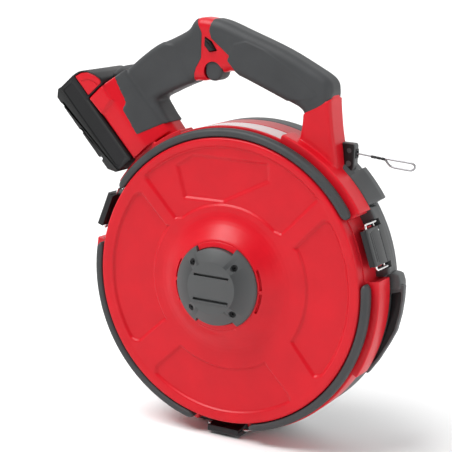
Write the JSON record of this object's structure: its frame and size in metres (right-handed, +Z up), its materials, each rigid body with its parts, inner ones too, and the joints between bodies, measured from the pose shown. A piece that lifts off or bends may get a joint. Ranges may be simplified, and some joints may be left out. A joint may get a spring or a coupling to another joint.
{
  "type": "fish tape reel",
  "caption": "Powered fish tape reel: round drum case with draw latches, D handle with trigger, slide-on battery pack and a steel tape end with a wire loop.",
  "frame": {"origin": "centre of the foot's flat underside, below the drum axis", "axes": "+Z up, -Y towards the front cover, the drum axis runs along Y 180 mm above the origin, the tape leaves towards +X"},
  "size_m": [0.4169, 0.208, 0.464],
  "materials": {
    "red_plastic": "satin moulded",
    "grey_plastic": "fine moulded grain",
    "grip_rubber": "matt overmould",
    "black_plastic": "fine moulded grain",
    "bright_steel": "bright",
    "spring_steel": "dull tempered",
    "cell_wrap": "shrink wrap",
    "board_green": "coated board"
  },
  "bodies": {
    "case": {"arm_sleeve": "grip_rubber", "base_foot": "grip_rubber", "bumper_left": "grip_rubber", "bumper_right": "grip_rubber", "bumper_top": "grip_rubber", "collar_left": "red_plastic", "collar_right": "red_plastic", "control_board": "board_green", "front_bearing": "bright_steel", "front_cover": "red_plastic", "gearbox_plate": "grey_plastic", "grip_sleeve": "grip_rubber", "handle_front": "red_plastic", "handle_rear": "red_plastic", "hub_cap": "grey_plastic", "hub_screw_1": "black_plastic", "hub_screw_2": "black_plastic", "hub_screw_3": "black_plastic", "hub_screw_4": "black_plastic", "latch_pin_bottom": "bright_steel", "latch_pin_left": "bright_steel", "latch_pin_right": "bright_steel", "motor": "spring_steel", "rear_bearing": "bright_steel", "rear_housing": "grey_plastic", "side_foot_left": "grey_plastic", "side_foot_right": "grey_plastic", "side_pad_left": "grip_rubber", "side_pad_right": "grip_rubber", "tape_guide": "grey_plastic", "tape_nozzle": "black_plastic", "terminal_block": "black_plastic", "trigger_spring": "bright_steel", "trigger_switch": "black_plastic"},
    "drum_group": {"drum": "black_plastic", "tape_coil": "spring_steel", "drum_gear": "grey_plastic", "spindle": "bright_steel"},
    "pinion": {"motor_pinion": "bright_steel"},
    "tape_tip": {"tape_end": "spring_steel", "tape_crimp": "black_plastic", "tape_loop": "bright_steel"},
    "trigger": {"trigger": "grey_plastic"},
    "shuttle": {"direction_shuttle": "grey_plastic"},
    "pack": {"pack_lower_case": "black_plastic", "pack_upper_case": "black_plastic", "pack_cell_1": "cell_wrap", "pack_cell_2": "cell_wrap", "pack_cell_3": "cell_wrap", "pack_cell_4": "cell_wrap", "pack_cell_5": "cell_wrap"},
    "button_front": {"pack_button_front": "red_plastic"},
    "button_back": {"pack_button_back": "red_plastic"},
    "lever_right": {"latch_lever_right": "grey_plastic"},
    "bail_right": {"latch_bail_right": "bright_steel"},
    "lever_left": {"latch_lever_left": "grey_plastic"},
    "bail_left": {"latch_bail_left": "bright_steel"},
    "lever_bottom": {"latch_lever_bottom": "grey_plastic"},
    "bail_bottom": {"latch_bail_bottom": "bright_steel"}
  },
  "joints": [
    {"name": "drum_spin", "type": "hinge", "parent": "case", "child": "drum_group", "pos_m": [0, -0.031, 0.18], "axis": [0, 1, 0], "continuous": true},
    {"name": "pinion_spin", "type": "hinge", "parent": "case", "child": "pinion", "pos_m": [-0.02565, -0.002, 0.25048], "axis": [0, 1, 0], "continuous": true},
    {"name": "tape_feed", "type": "slide", "parent": "case", "child": "tape_tip", "axis": [0.996, 0, -0.0896], "range_m": [-0.011, 0.018]},
    {"name": "trigger_pull", "type": "slide", "parent": "case", "child": "trigger", "axis": [0, 0, 1], "range_m": [0, 0.006], "stiffness_N_per_m": 700, "deforming": ["trigger_spring"]},
    {"name": "direction_slide", "type": "slide", "parent": "case", "child": "shuttle", "axis": [0, 1, 0], "range_m": [-0.003, 0.003]},
    {"name": "pack_slide", "type": "slide", "parent": "case", "child": "pack", "axis": [-0.6833, 0, 0.7302], "range_m": [0, 0.09]},
    {"name": "button_front_press", "type": "slide", "parent": "pack", "child": "button_front", "axis": [0, 1, 0], "range_m": [0, 0.0025], "stiffness_N_per_m": 500},
    {"name": "button_back_press", "type": "slide", "parent": "pack", "child": "button_back", "axis": [0, -1, 0], "range_m": [0, 0.0025], "stiffness_N_per_m": 500},
    {"name": "latch_right", "type": "hinge", "parent": "case", "child": "lever_right", "pos_m": [0.15834, -0.047, 0.23763], "axis": [-0.342, 0, 0.9397], "range_deg": [0, 100]},
    {"name": "bail_right", "type": "hinge", "parent": "lever_right", "child": "bail_right", "pos_m": [0.16181, -0.061, 0.2389], "axis": [-0.342, 0, 0.9397], "range_deg": [-150, 0]},
    {"name": "latch_left", "type": "hinge", "parent": "case", "child": "lever_left", "pos_m": [-0.15834, -0.047, 0.23763], "axis": [-0.342, 0, -0.9397], "range_deg": [0, 100]},
    {"name": "bail_left", "type": "hinge", "parent": "lever_left", "child": "bail_left", "pos_m": [-0.16181, -0.061, 0.2389], "axis": [-0.342, 0, -0.9397], "range_deg": [-150, 0]},
    {"name": "latch_bottom", "type": "hinge", "parent": "case", "child": "lever_bottom", "pos_m": [0, -0.047, 0.0115], "axis": [1, 0, 0], "range_deg": [0, 100]},
    {"name": "bail_bottom", "type": "hinge", "parent": "lever_bottom", "child": "bail_bottom", "pos_m": [0, -0.061, 0.0078], "axis": [1, 0, 0], "range_deg": [-150, 0]}
  ],
  "couplings": [
    {"joint": "pinion_spin", "follows": "drum_spin", "ratio": -4},
    {"joint": "bail_right", "follows": "latch_right", "ratio": -1.5},
    {"joint": "bail_left", "follows": "latch_left", "ratio": -1.5},
    {"joint": "bail_bottom", "follows": "latch_bottom", "ratio": -1.5}
  ]
}
